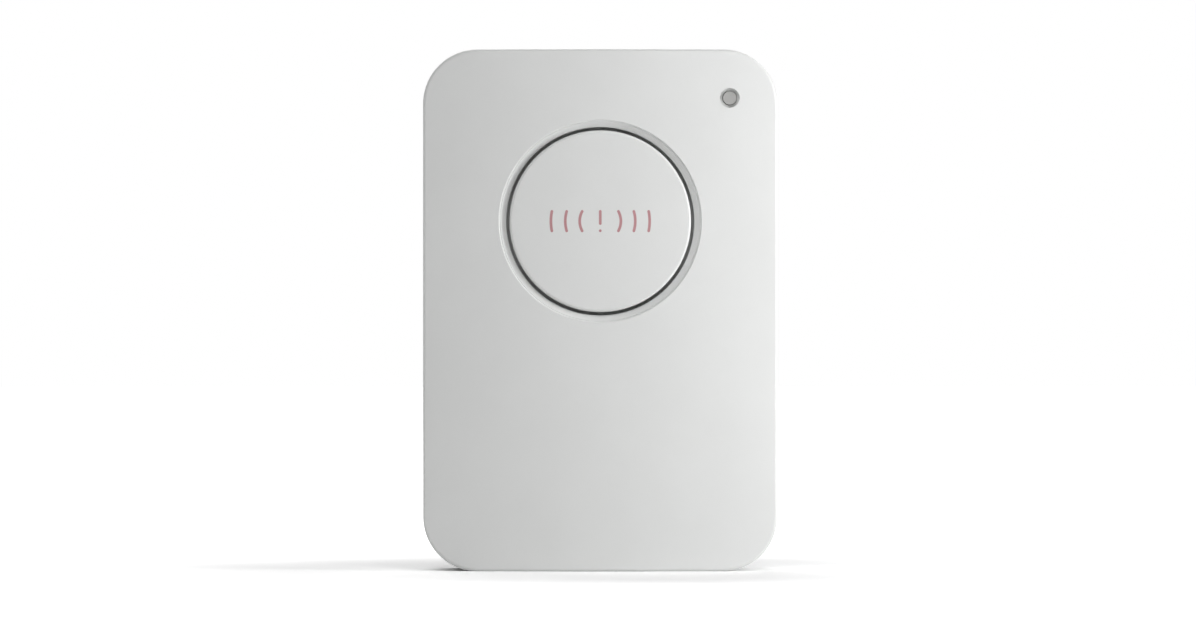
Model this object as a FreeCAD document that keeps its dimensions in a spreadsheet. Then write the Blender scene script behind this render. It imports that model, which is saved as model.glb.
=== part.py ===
"""Wireless panic button: an alarm push for a wall or a table, in a white moulded housing.

The frame is in millimetres: +Z up, +Y towards the back, +X to the right when the button is faced.
The origin is the middle of the bottom edge on which the housing stands, halfway through its depth.
Most places are given as a depth, measured backwards from the highest line of the crowned front.
"""

import FreeCAD, Part
import math
import operator
import os

import Sketcher
from FreeCAD import Placement, Rotation, Vector

# Driving dimensions in millimetres and degrees, each with what it sets.
SIZES = [
    ("body_width", 51.8, "housing, left to right"),
    ("body_height", 76.2, "housing, bottom to top"),
    ("body_depth", 19.0, "housing, crown to flat back"),
    ("outline_radius", 7.9, "corners of the outline seen from the front"),
    ("crown_radius", 120.0, "upright cylinder that crowns the front"),
    ("front_depth", 13.4, "crown to the seam between the two covers"),
    ("seam_gap", 0.3, "shadow groove between the covers"),
    ("wall", 1.8, "front cover's shell and rear cover's sides"),
    ("back_wall", 1.8, "rear cover's flat back"),
    ("front_round", 0.5, "edge of the crowned face"),
    ("back_round", 1.4, "edge of the flat back"),
    ("lip_thickness", 0.8, "locating lip of the rear cover"),
    ("lip_height", 1.6, "reach of that lip into the front cover"),
    ("lip_clearance", 0.1, "lip and snap beads to the front cover"),
    ("snap_length", 9.0, "each snap bead, along the side wall"),
    ("snap_rise", 0.3, "snap bead, proud of the lip"),
    ("snap_height", 0.8, "snap bead, along the depth"),
    ("snap_low", 19.0, "middle of the lower pair of snap beads above the base"),
    ("snap_top", 17.2, "middle of the upper pair of snap beads below the top"),
    ("button_height", 51.1, "axis of the button above the base"),
    ("button_radius", 13.25, "button cap"),
    ("button_gap", 0.5, "cap to the bore around it"),
    ("button_round", 0.4, "edge of the cap"),
    ("button_travel", 0.8, "cap, from rest to its stop"),
    ("ring_width", 0.95, "recessed ring round the opening, across"),
    ("ring_step", 0.25, "recessed ring, below the face at its outer edge"),
    ("ring_fall", 0.7, "recessed ring, from its outer to its inner edge"),
    ("ring_round", 0.15, "outer edge of the recessed ring"),
    ("cap_wall", 2.0, "cap, crown to underside"),
    ("skirt_wall", 1.3, "cap's skirt"),
    ("flange_reach", 0.9, "cap's stop flange, past the bore"),
    ("flange_thickness", 1.0, "cap's stop flange"),
    ("stop_clearance", 0.1, "flange to collar at rest"),
    ("collar_length", 2.7, "collar that guides the cap, behind the wall"),
    ("collar_wall", 1.5, "that collar"),
    ("key_width", 2.6, "ribs that keep the cap upright"),
    ("key_clearance", 0.2, "each rib to its notch in the flange"),
    ("key_count", 3, "ribs and notches"),
    ("rib_thickness", 1.0, "stiffening ribs under the cap and at the bosses"),
    ("rib_height", 2.6, "ribs under the cap"),
    ("rib_count", 6, "ribs under the cap"),
    ("post_radius", 2.0, "post that presses the switch"),
    ("post_clearance", 0.02, "post to plunger at full travel"),
    ("board_depth", 9.5, "crown to the board's front face"),
    ("board_thickness", 1.0, "circuit board"),
    ("board_gap", 2.2, "board's edge to the shell"),
    ("boss_inset", 6.9, "screw axes, in from the sides"),
    ("boss_low", 9.0, "lower pair of screw axes above the base"),
    ("boss_top", 15.7, "upper pair of screw axes below the top"),
    ("boss_radius", 2.4, "screw bosses"),
    ("boss_clearance", 0.02, "boss and screw head to the board"),
    ("screw_radius", 0.95, "shank of the board screws"),
    ("screw_length", 5.0, "under the head"),
    ("screw_head_radius", 1.8, "board screws"),
    ("screw_head_height", 1.2, "board screws"),
    ("screw_recess", 0.6, "cross recess, deep and wide"),
    ("screw_clearance", 0.05, "shank to its hole in the boss, all round"),
    ("screw_play", 0.2, "shank to its hole in the board, all round"),
    ("spring_radius", 6.6, "return spring, to the middle of its wire"),
    ("spring_wire", 0.5, "return spring's wire"),
    ("spring_turns", 4.5, "coils"),
    ("spring_clearance", 0.05, "spring to its seats"),
    ("switch_side", 6.0, "square body of the switch"),
    ("switch_height", 5.0, "board to the top of the plunger"),
    ("switch_body", 3.4, "board to the top of the plastic body"),
    ("switch_clearance", 0.03, "frame, dome and plunger to each other"),
    ("frame_sheet", 0.2, "steel frame and legs"),
    ("frame_tab", 2.2, "frame's tabs, wide and long"),
    ("plunger_radius", 1.7, "switch plunger"),
    ("plunger_foot", 0.4, "plunger's foot, out past its stem"),
    ("plunger_clearance", 0.1, "plunger to its frame and chamber"),
    ("switch_travel", 0.25, "plunger"),
    ("dome_sheet", 0.12, "snap dome in the switch"),
    ("dome_rise", 0.45, "snap dome in the switch"),
    ("chamber_depth", 1.3, "chamber for the snap dome"),
    ("leg_width", 0.7, "switch legs"),
    ("leg_reach", 1.5, "switch legs, out of the body"),
    ("leg_across", 2.25, "switch legs, from the middle"),
    ("leg_rise", 1.1, "switch legs, board to where they leave the body"),
    ("lens_inset", 7.0, "indicator, in from the right side"),
    ("lens_drop", 7.1, "indicator, below the top"),
    ("lens_radius", 0.98, "light pipe's round end"),
    ("lens_play", 0.1, "light pipe to its hole"),
    ("lens_rim", 0.47, "recess round the light pipe, across"),
    ("lens_rim_depth", 0.7, "recess round the light pipe"),
    ("lens_recess", 0.25, "light pipe, below the face"),
    ("lens_flange", 2.1, "light pipe's flange, radius"),
    ("lens_flange_height", 1.0, "light pipe's flange"),
    ("lens_clearance", 0.12, "flange to its sleeve and seat"),
    ("sleeve_wall", 0.8, "ring that locates the light pipe"),
    ("led_side", 2.0, "light source on the board"),
    ("led_height", 0.7, "light source on the board"),
    ("led_gap", 0.2, "light source to the light pipe"),
    ("cell_height", 37.5, "axis of the coin cell above the base"),
    ("cell_radius", 10.0, "coin cell"),
    ("cell_thickness", 3.2, "coin cell"),
    ("cell_step", 1.2, "coin cell's smaller face, in from its rim"),
    ("cell_step_height", 0.6, "coin cell's smaller face"),
    ("cell_round", 0.3, "coin cell's edge"),
    ("cell_clearance", 0.3, "cell to the well and the door's skirt"),
    ("cell_gap", 0.1, "cell to the door and the well's shelf"),
    ("door_radius", 12.6, "battery door"),
    ("door_clearance", 0.2, "battery door to the rear cover"),
    ("door_recess", 0.1, "battery door, below the flat back"),
    ("door_plate", 2.0, "middle of the battery door"),
    ("door_head", 1.2, "rim of the battery door"),
    ("door_round", 0.3, "edge of the battery door"),
    ("door_skirt", 0.9, "skirt round the cell"),
    ("door_turn", 45.0, "from locked to free"),
    ("lug_angle", 26.0, "each bayonet lug"),
    ("lug_reach", 1.3, "bayonet lug, out of the skirt"),
    ("lug_thickness", 1.0, "bayonet lug"),
    ("lug_clearance", 0.1, "lug to ledge"),
    ("lug_slack", 2.0, "lug to stop and to the sides of its notch"),
    ("lug_count", 3, "bayonet lugs"),
    ("stop_angle", 6.0, "stop at each end of a lug's turn"),
    ("ledge_thickness", 0.9, "bayonet ledge in the well"),
    ("seal_cord", 0.8, "sealing ring's section"),
    ("seal_clearance", 0.03, "sealing ring to its seat"),
    ("coin_slot_length", 13.0, "slot across the door"),
    ("coin_slot_width", 2.2, "slot across the door"),
    ("coin_slot_depth", 1.2, "slot across the door"),
    ("well_wall", 1.2, "tower round the cell"),
    ("shelf_thickness", 0.8, "shelf under the cell's rim"),
    ("shelf_reach", 2.0, "shelf, in under the cell"),
    ("contact_sheet", 0.25, "battery contacts, spring strip"),
    ("contact_width", 4.0, "battery contacts"),
    ("contact_foot", 3.0, "battery contacts, along the board"),
    ("contact_clearance", 0.3, "contact to the slot in the well"),
    ("contact_gap", 0.05, "contact to the cell"),
    ("leaf_reach", 8.0, "lower contact's foot, from the cell's axis"),
    ("keyhole_low", 11.0, "lower wall-screw hole above the base"),
    ("keyhole_top", 15.2, "upper wall-screw hole below the top"),
    ("keyhole_radius", 3.8, "hole that the screw head enters"),
    ("keyhole_slot", 1.9, "slot for the screw's shank, half its width"),
    ("keyhole_drop", 5.0, "entry to the seat of the slot"),
    ("keyhole_room", 0.6, "room round the screw head behind the wall"),
    ("keyhole_pocket", 3.4, "depth of that room"),
    ("keyhole_wall", 0.8, "box that closes that room"),
    ("antenna_radius", 0.4, "antenna wire"),
    ("antenna_width", 26.0, "antenna, leg to leg"),
    ("antenna_rise", 2.4, "antenna wire's axis in front of the board"),
    ("antenna_height", 7.0, "antenna above the base"),
    ("antenna_bend", 1.5, "antenna's bends"),
    ("chip_height", 24.5, "radio chip above the base"),
    ("chip_side", 5.0, "radio chip"),
    ("chip_rise", 0.9, "radio chip"),
    ("chip_spacing", 8.5, "radio chip to the parts beside it"),
    ("row_spacing", 6.0, "radio chip to the rows above and below it"),
    ("row_pitch", 3.2, "small parts along a row"),
    ("small_length", 1.6, "chip capacitors and resistors"),
    ("small_width", 0.8, "chip capacitors and resistors"),
    ("capacitor_rise", 0.8, "chip capacitors"),
    ("resistor_rise", 0.45, "chip resistors"),
    ("crystal_length", 3.2, "crystal"),
    ("crystal_width", 2.5, "crystal"),
    ("crystal_rise", 0.7, "crystal"),
    ("reservoir_length", 3.5, "reservoir capacitor"),
    ("reservoir_width", 2.8, "reservoir capacitor"),
    ("reservoir_rise", 1.9, "reservoir capacitor"),
]

# How far a cutting outline runs past what it trims, and how near counts as the same place.
OVERRUN = 2.0
NEAR = 0.001


class Formula:
    """A number and the sheet's formula for it, carried through arithmetic together."""

    def __init__(self, text, number):
        self.text = text
        self.number = number

    def __add__(self, other):
        return combine(self, "+", other)

    def __radd__(self, other):
        return combine(other, "+", self)

    def __sub__(self, other):
        return combine(self, "-", other)

    def __rsub__(self, other):
        return combine(other, "-", self)

    def __mul__(self, other):
        return combine(self, "*", other)

    def __rmul__(self, other):
        return combine(other, "*", self)

    def __truediv__(self, other):
        return combine(self, "/", other)

    def __neg__(self):
        return combine(0, "-", self)


def formula(amount):
    """A formula as it is, and a plain number as a formula that names no size."""
    return amount if isinstance(amount, Formula) else Formula(str(amount), float(amount))


def combine(left, sign, right):
    """The formula for two amounts joined by a sign."""
    left, right = formula(left), formula(right)
    work = {"+": operator.add, "-": operator.sub, "*": operator.mul, "/": operator.truediv}[sign]
    return Formula(f"({left.text} {sign} {right.text})", work(left.number, right.number))


def root(amount):
    """The formula for a square root."""
    return Formula(f"sqrt({amount.text})", math.sqrt(amount.number))


class Sizes:
    """The driving dimensions by name, each as a formula that points at its cell."""

    def __init__(self, rows):
        for name, number, _ in rows:
            setattr(self, name, Formula("sizes." + name, number))


size = Sizes(SIZES)
doc = FreeCAD.newDocument("panic_button")
sub_parts = []


def fill_sheet():
    """One row for each driving dimension: its name, its value and what it sets."""
    sheet = doc.addObject("Spreadsheet::Sheet", "sizes")
    for row, (name, number, note) in enumerate(SIZES, 1):
        sheet.set(f"A{row}", name)
        sheet.set(f"B{row}", str(number))
        sheet.setAlias(f"B{row}", name)
        sheet.set(f"C{row}", note)
    doc.recompute()


def drop(across):
    """How far the crowned face falls back at a distance from the middle."""
    return size.crown_radius - root(size.crown_radius * size.crown_radius - across * across)


# Depths and radii that several pieces share.
BORE = size.button_radius + size.button_gap
RING_OUTER = BORE + size.ring_width
COLLAR_OUTER = BORE + size.collar_wall
COLLAR_END = size.wall + size.collar_length
FLANGE_FRONT = COLLAR_END + size.stop_clearance
FLANGE_BACK = FLANGE_FRONT + size.flange_thickness
BOARD_BACK = size.board_depth + size.board_thickness
PLUNGER_TOP = size.board_depth - size.switch_height
POST_END = PLUNGER_TOP + size.switch_travel - size.button_travel - size.post_clearance
SWITCH_TOP = size.board_depth - size.switch_body
CHAMBER_FLOOR = SWITCH_TOP + size.chamber_depth
CHAMBER_RADIUS = size.plunger_radius + size.plunger_foot + size.plunger_clearance
DOME_TOP = CHAMBER_FLOOR - size.dome_rise - size.dome_sheet
LENS_ACROSS = size.body_width / 2 - size.lens_inset
LENS_HEIGHT = size.body_height - size.lens_drop
LENS_SEAT = size.wall + drop(LENS_ACROSS + size.lens_flange)
LENS_FLANGE_FRONT = LENS_SEAT + size.lens_clearance
LENS_FLANGE_BACK = LENS_FLANGE_FRONT + size.lens_flange_height
REAR_EDGE = size.front_depth + size.seam_gap
LIP_FACE = size.body_width / 2 - size.wall + size.lip_thickness
SNAP_DEPTH = size.front_depth - size.lip_height / 2
DOOR_FACE = size.body_depth - size.door_recess
DOOR_INNER = DOOR_FACE - size.door_plate
HEAD_UNDER = DOOR_FACE - size.door_head
LEDGE_BACK = HEAD_UNDER - size.seal_cord - 2 * size.seal_clearance
LEDGE_FRONT = LEDGE_BACK - size.ledge_thickness
LUG_BACK = LEDGE_FRONT - size.lug_clearance
LUG_FRONT = LUG_BACK - size.lug_thickness
CHAMBER_END = LUG_FRONT - size.door_clearance
SKIRT_INNER = size.cell_radius + size.cell_clearance
SKIRT_OUTER = SKIRT_INNER + size.door_skirt
LEDGE_RADIUS = SKIRT_OUTER + size.door_clearance
WELL_BORE = size.door_radius + size.door_clearance
WELL_OUTER = WELL_BORE + size.well_wall
CELL_BACK = DOOR_INNER - size.cell_gap
CELL_FRONT = CELL_BACK - size.cell_thickness
SHELF_BACK = CELL_FRONT - size.cell_gap
SHELF_FRONT = SHELF_BACK - size.shelf_thickness
BOSS_ACROSS = size.body_width / 2 - size.boss_inset
BOSS_HEIGHTS = (size.boss_low, size.body_height - size.boss_top)
BOSSES = [(side * BOSS_ACROSS, height) for side in (-1, 1) for height in BOSS_HEIGHTS]
KEYHOLES = (size.keyhole_low, size.body_height - size.keyhole_top)
SNAPS = (size.snap_low, size.body_height - size.snap_top)


def new_body(name):
    """A named piece, kept for the export."""
    body = doc.addObject("PartDesign::Body", name)
    body.Label = name
    sub_parts.append(body)
    return body


def new_sketch(body, plane, base, spin=None):
    """A sketch on one of the body's origin planes, moved and spun in its own axes."""
    sketch = body.newObject("Sketcher::SketchObject", body.Name + "_sketch")
    support = next(f for f in body.Origin.OriginFeatures if f.Role == plane)
    sketch.AttachmentSupport = [(support, "")]
    sketch.MapMode = "FlatFace"
    if spin is not None:
        sketch.AttachmentOffset = Placement(Vector(), Rotation(Vector(1, 0, 0), 1))
        sketch.setExpression("AttachmentOffset.Rotation.Angle", formula(spin).text)
    for axis, amount in zip("xyz", base):
        sketch.setExpression("AttachmentOffset.Base." + axis, formula(amount).text)
    return sketch


def face_sketch(body, depth, across=0, height=0):
    """A sketch seen from the front, at a depth. Its own axes are X and Z, about a chosen point."""
    return new_sketch(body, "XZ_Plane", (across, height, size.body_depth / 2 - depth))


def turned_sketch(body, height, across=0, spin=None):
    """A sketch for turning about an axis along Y. Its own axes are depth and radius."""
    return new_sketch(body, "YZ_Plane", (-size.body_depth / 2, height, across), spin)


def plan_sketch(body, height):
    """A sketch seen from above, at a height. Its own axes are X and depth."""
    return new_sketch(body, "XY_Plane", (0, -size.body_depth / 2, height))


def tie(sketch, kind, where, amount):
    """Adds one dimension to a sketch and binds it to its formula."""
    amount = formula(amount)
    index = sketch.addConstraint(Sketcher.Constraint(kind, *where, amount.number))
    sketch.setExpression(f"Constraints[{index}]", amount.text)


def circle(sketch, radius, across=0, up=0):
    """A circle about a point of the sketch."""
    centre = Vector(formula(across).number, formula(up).number, 0)
    ring = Part.Circle(centre, Vector(0, 0, 1), formula(radius).number)
    edge = sketch.addGeometry(ring)
    tie(sketch, "Radius", (edge,), radius)
    tie(sketch, "DistanceX", (-1, 1, edge, 3), across)
    tie(sketch, "DistanceY", (-1, 1, edge, 3), up)


def polygon(sketch, corners):
    """A closed outline of straight lines."""
    points = [Vector(formula(x).number, formula(y).number, 0) for x, y in corners]
    closed = points[1:] + points[:1]
    edges = [sketch.addGeometry(Part.LineSegment(a, b)) for a, b in zip(points, closed)]
    for here, after in zip(edges, edges[1:] + edges[:1]):
        sketch.addConstraint(Sketcher.Constraint("Coincident", here, 2, after, 1))
    for edge, (x, y) in zip(edges, corners):
        tie(sketch, "DistanceX", (-1, 1, edge, 1), x)
        tie(sketch, "DistanceY", (-1, 1, edge, 1), y)


def box(sketch, left, right, low, high):
    """A rectangle between two places across and two places up."""
    polygon(sketch, [(left, low), (right, low), (right, high), (left, high)])


def block(sketch, width, height, across=0, up=0):
    """A rectangle about a point of the sketch."""
    left, low = across - width / 2, up - height / 2
    box(sketch, left, left + width, low, low + height)


def mirrored(corners):
    """The same outline on the other side of the sketch's upright axis."""
    return [(-x, y) for x, y in corners]


def outline(sketch, inset):
    """The housing's rounded outline, standing on the base, moved in by an inset."""
    radius = formula(size.outline_radius - inset)
    half = formula(size.body_width / 2 - inset)
    low, high = formula(inset), formula(size.body_height - inset)
    w, a, b, r = half.number, low.number, high.number, radius.number
    arcs = []
    for quarter, (x, y) in enumerate([(w - r, b - r), (r - w, b - r), (r - w, a + r), (w - r, a + r)]):
        ring = Part.Circle(Vector(x, y, 0), Vector(0, 0, 1), r)
        start = quarter * math.pi / 2
        arcs.append(sketch.addGeometry(Part.ArcOfCircle(ring, start, start + math.pi / 2)))
    ends = [((w - r, b), (r - w, b)), ((-w, b - r), (-w, a + r))]
    ends += [((r - w, a), (w - r, a)), ((w, a + r), (w, b - r))]
    lines = []
    for (x0, y0), (x1, y1) in ends:
        lines.append(sketch.addGeometry(Part.LineSegment(Vector(x0, y0, 0), Vector(x1, y1, 0))))
    for side in range(4):
        arc, line, following = arcs[side], lines[side], arcs[(side + 1) % 4]
        sketch.addConstraint(Sketcher.Constraint("Tangent", arc, 2, line, 1))
        sketch.addConstraint(Sketcher.Constraint("Tangent", line, 2, following, 1))
        if side:
            sketch.addConstraint(Sketcher.Constraint("Equal", arcs[0], arc))
    for line, kind in zip(lines, ("Horizontal", "Vertical", "Horizontal", "Vertical")):
        sketch.addConstraint(Sketcher.Constraint(kind, line))
    tie(sketch, "Radius", (arcs[0],), radius)
    tie(sketch, "DistanceX", (-1, 1, lines[3], 1), half)
    tie(sketch, "DistanceX", (lines[1], 1, -1, 1), half)
    tie(sketch, "DistanceY", (-1, 1, lines[2], 1), low)
    tie(sketch, "DistanceY", (-1, 1, lines[0], 1), high)


def slot(sketch, radius, first, last, level=False):
    """A round-ended slot from first to last on the sketch's upright axis, or on its level one."""
    r, a, b = formula(radius).number, formula(first).number, formula(last).number
    lead = 0 if level else math.pi / 2

    def at(along, aside):
        return Vector(along, aside, 0) if level else Vector(-aside, along, 0)

    def half_ring(along, start):
        ring = Part.Circle(at(along, 0), Vector(0, 0, 1), r)
        return sketch.addGeometry(Part.ArcOfCircle(ring, start, start + math.pi))

    far, near = half_ring(b, lead - math.pi / 2), half_ring(a, lead + math.pi / 2)
    there = sketch.addGeometry(Part.LineSegment(at(b, r), at(a, r)))
    back = sketch.addGeometry(Part.LineSegment(at(a, -r), at(b, -r)))
    for arc, line, other in ((far, there, near), (near, back, far)):
        sketch.addConstraint(Sketcher.Constraint("Tangent", arc, 2, line, 1))
        sketch.addConstraint(Sketcher.Constraint("Tangent", line, 2, other, 1))
    sketch.addConstraint(Sketcher.Constraint("Equal", far, near))
    for arc in (far, near):
        sketch.addConstraint(Sketcher.Constraint("PointOnObject", arc, 3, -1 if level else -2))
    kind = "DistanceX" if level else "DistanceY"
    tie(sketch, "Radius", (far,), radius)
    tie(sketch, kind, (-1, 1, far, 3), last)
    tie(sketch, kind, (-1, 1, near, 3), first)


def pad(body, sketch, length, reverse=False):
    """Adds material along a sketch's normal, or against it when reversed."""
    feature = body.newObject("PartDesign::Pad", body.Name + "_pad")
    feature.Profile = sketch
    feature.setExpression("Length", formula(length).text)
    feature.Reversed = reverse
    return feature


def cut(body, sketch, length=None, reverse=False):
    """Removes material against a sketch's normal, or along it when reversed."""
    feature = body.newObject("PartDesign::Pocket", body.Name + "_cut")
    feature.Profile = sketch
    feature.Reversed = reverse
    if length is None:
        feature.Type = "ThroughAll"
    else:
        feature.setExpression("Length", formula(length).text)
    return feature


def turn(body, sketch, kind="Revolution", angle=None):
    """Turns a profile about the sketch's level axis: right round, or by an angle about its middle."""
    feature = body.newObject("PartDesign::" + kind, body.Name + "_turn")
    feature.Profile = sketch
    feature.ReferenceAxis = (sketch, ["H_Axis"])
    feature.Angle = 360
    if angle is not None:
        feature.Midplane = True
        feature.setExpression("Angle", formula(angle).text)
    return feature


def ring_of(body, feature, sketch, axis, count):
    """Repeats a feature evenly round one of a sketch's axes."""
    pattern = body.newObject("PartDesign::PolarPattern", body.Name + "_ring")
    pattern.Originals = [feature]
    pattern.Axis = (sketch, [axis])
    pattern.Angle = 360
    pattern.setExpression("Occurrences", count.text)
    body.Tip = pattern
    return pattern


def edges_where(feature, test):
    """Names of the edges whose sample points all pass a test."""
    doc.recompute()
    names = []
    for number, edge in enumerate(feature.Shape.Edges, 1):
        first, last = edge.ParameterRange
        if all(test(edge.valueAt(first + (last - first) * k / 4)) for k in range(5)):
            names.append(f"Edge{number}")
    return names


def soften(body, base, names, radius):
    """Rounds named edges."""
    feature = body.newObject("PartDesign::Fillet", body.Name + "_round")
    feature.Base = (base, names)
    feature.setExpression("Radius", formula(radius).text)
    return feature


def depth_of(point):
    """Depth of a point behind the highest line of the crowned front."""
    return point.y + size.body_depth.number / 2


def at_depth(point, depth):
    """Whether a point lies at a depth."""
    return abs(depth_of(point) - formula(depth).number) < NEAR


def on_crown(point, step=0):
    """Whether a point lies on the crowned face, or on its like a step behind it."""
    return abs(depth_of(point) - drop(formula(point.x)).number - formula(step).number) < NEAR


def from_axis(point, height):
    """Distance of a point from an axis along Y, in the middle, at a height."""
    return math.hypot(point.x, point.z - height.number)


def hollow(body, base, depth, thickness):
    """Shells a solid inwards and opens its flat face at a depth."""
    doc.recompute()
    faces = []
    for number, face in enumerate(base.Shape.Faces, 1):
        if isinstance(face.Surface, Part.Plane) and at_depth(face.CenterOfMass, depth):
            faces.append(f"Face{number}")
    feature = body.newObject("PartDesign::Thickness", body.Name + "_shell")
    feature.Base = (base, faces)
    feature.setExpression("Value", thickness.text)
    feature.Reversed = True
    feature.Join = "Intersection"
    return feature


def crown(body, reach, step=0):
    """Trims everything in front of the crowned face, or of a step behind it, out to a reach."""
    sketch = plan_sketch(body, -OVERRUN)
    half, big, back = reach.number, size.crown_radius.number, formula(step).number
    spread = math.asin(half / big)
    ring = Part.Circle(Vector(0, big + back, 0), Vector(0, 0, 1), big)
    arc = sketch.addGeometry(Part.ArcOfCircle(ring, 1.5 * math.pi - spread, 1.5 * math.pi + spread))
    edge = back + big - big * math.cos(spread)
    places = [(half, edge), (half, -OVERRUN), (-half, -OVERRUN), (-half, edge)]
    corners = [Vector(x, y, 0) for x, y in places]
    lines = [sketch.addGeometry(Part.LineSegment(a, b)) for a, b in zip(corners, corners[1:])]
    chain = [arc, *lines]
    for here, after in zip(chain, chain[1:] + chain[:1]):
        sketch.addConstraint(Sketcher.Constraint("Coincident", here, 2, after, 1))
    for line, kind in zip(lines, ("Vertical", "Horizontal", "Vertical")):
        sketch.addConstraint(Sketcher.Constraint(kind, line))
    sketch.addConstraint(Sketcher.Constraint("PointOnObject", arc, 3, -2))
    tie(sketch, "Radius", (arc,), size.crown_radius)
    tie(sketch, "DistanceY", (-1, 1, arc, 3), size.crown_radius + step)
    tie(sketch, "DistanceX", (-1, 1, lines[0], 1), reach)
    tie(sketch, "DistanceX", (lines[2], 1, -1, 1), reach)
    tie(sketch, "DistanceY", (lines[1], 1, -1, 1), OVERRUN)
    return cut(body, sketch, size.body_height + 2 * OVERRUN, reverse=True)


def snap_outlines(sketch, spare):
    """The snap beads' section on both sides, or the section of their grooves with some to spare."""
    inner, outer = LIP_FACE - size.lip_thickness / 2, LIP_FACE + size.snap_rise + spare
    base, tip = size.snap_height / 2 + spare, size.snap_height / 4 + spare
    corners = [
        (inner, SNAP_DEPTH - base),
        (outer, SNAP_DEPTH - tip),
        (outer, SNAP_DEPTH + tip),
        (inner, SNAP_DEPTH + base),
    ]
    polygon(sketch, corners)
    polygon(sketch, mirrored(corners))


def front_cover():
    """White front: crown, recessed ring round the opening, collar, keys, bosses and lamp sleeve."""
    body = new_body("front_cover")
    sketch = face_sketch(body, size.front_depth)
    outline(sketch, 0)
    pad(body, sketch, size.front_depth)

    # The whole block is trimmed to the recess, and the face is built up round it again.
    reach = size.body_width / 2 + OVERRUN
    crown(body, reach, size.ring_step)
    sketch = face_sketch(body, size.front_depth)
    outline(sketch, 0)
    circle(sketch, RING_OUTER, 0, size.button_height)
    pad(body, sketch, size.front_depth)
    solid = crown(body, reach)
    shell = hollow(body, solid, size.front_depth, size.wall)

    def on_edge(point):
        return on_crown(point) and from_axis(point, size.button_height) > RING_OUTER.number + NEAR

    soften(body, shell, edges_where(shell, on_edge), size.front_round)

    # Rabbet for the rear cover's lip, and grooves for its snap beads.
    sketch = face_sketch(body, size.front_depth)
    outline(sketch, size.wall - size.lip_thickness - size.lip_clearance)
    cut(body, sketch, size.lip_height + size.lip_clearance, reverse=True)
    for height in SNAPS:
        sketch = plan_sketch(body, height - size.snap_length / 2 - size.lip_clearance)
        snap_outlines(sketch, size.lip_clearance)
        cut(body, sketch, size.snap_length + 2 * size.lip_clearance, reverse=True)

    # Bosses for the board, each with a rib to the side wall.
    root_depth = drop(BOSS_ACROSS) + size.wall / 2
    sketch = face_sketch(body, size.board_depth - size.boss_clearance)
    for across, height in BOSSES:
        circle(sketch, size.boss_radius, across, height)
    pad(body, sketch, size.board_depth - size.boss_clearance - root_depth)
    sketch = face_sketch(body, size.board_depth - size.rib_thickness)
    half_rib = size.rib_thickness / 2
    for height in BOSS_HEIGHTS:
        ends = (BOSS_ACROSS, size.body_width / 2 - size.wall / 2)
        box(sketch, ends[0], ends[1], height - half_rib, height + half_rib)
        box(sketch, -ends[1], -ends[0], height - half_rib, height + half_rib)
    rib_root = drop(size.body_width / 2 - size.wall / 2) + size.wall / 2
    pad(body, sketch, size.board_depth - size.rib_thickness - rib_root)
    sketch = face_sketch(body, size.board_depth)
    for across, height in BOSSES:
        circle(sketch, size.screw_radius + size.screw_clearance, across, height)
    cut(body, sketch, size.screw_length, reverse=True)

    # Sleeve and hole for the light pipe, and the recess round its end.
    sketch = face_sketch(body, LENS_FLANGE_BACK, LENS_ACROSS, LENS_HEIGHT)
    circle(sketch, size.lens_flange + size.lens_clearance + size.sleeve_wall)
    pad(body, sketch, LENS_FLANGE_BACK - drop(LENS_ACROSS) - size.wall / 2)
    sketch = face_sketch(body, LENS_FLANGE_BACK, LENS_ACROSS, LENS_HEIGHT)
    circle(sketch, size.lens_flange + size.lens_clearance)
    cut(body, sketch, LENS_FLANGE_BACK - LENS_SEAT, reverse=True)
    sketch = face_sketch(body, LENS_FLANGE_BACK, LENS_ACROSS, LENS_HEIGHT)
    circle(sketch, size.lens_radius + size.lens_play)
    cut(body, sketch, reverse=True)
    sketch = face_sketch(body, drop(LENS_ACROSS) + size.lens_rim_depth, LENS_ACROSS, LENS_HEIGHT)
    circle(sketch, size.lens_radius + size.lens_rim)
    cut(body, sketch, reverse=True)

    # Keys behind the collar, the collar itself, and the bore through it and the face.
    sketch = face_sketch(body, FLANGE_BACK + size.button_travel, 0, size.button_height)
    half_key = size.key_width / 2
    box(sketch, -half_key, half_key, BORE + size.key_clearance, COLLAR_OUTER - size.stop_clearance)
    key = pad(body, sketch, FLANGE_BACK + size.button_travel - size.wall)
    ring_of(body, key, sketch, "N_Axis", size.key_count)
    sketch = face_sketch(body, COLLAR_END, 0, size.button_height)
    circle(sketch, COLLAR_OUTER)
    pad(body, sketch, COLLAR_END - (drop(COLLAR_OUTER) + size.wall) / 2)
    sketch = face_sketch(body, COLLAR_END, 0, size.button_height)
    circle(sketch, BORE)
    bored = cut(body, sketch, reverse=True)

    # The recess falls evenly towards the opening, and its outer edge is eased.
    def on_circle(point, radius, step):
        beyond = from_axis(point, size.button_height) - radius.number
        return on_crown(point, step) and abs(beyond) < NEAR

    bevel = body.newObject("PartDesign::Chamfer", "front_cover_bevel")
    bevel.Base = (bored, edges_where(bored, lambda p: on_circle(p, BORE, size.ring_step)))
    bevel.ChamferType = "Two distances"
    bevel.setExpression("Size", (size.ring_width - size.ring_round).text)
    bevel.setExpression("Size2", size.ring_fall.text)
    rim = edges_where(bevel, lambda p: on_circle(p, RING_OUTER, 0))
    soften(body, bevel, rim, size.ring_round)


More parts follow.
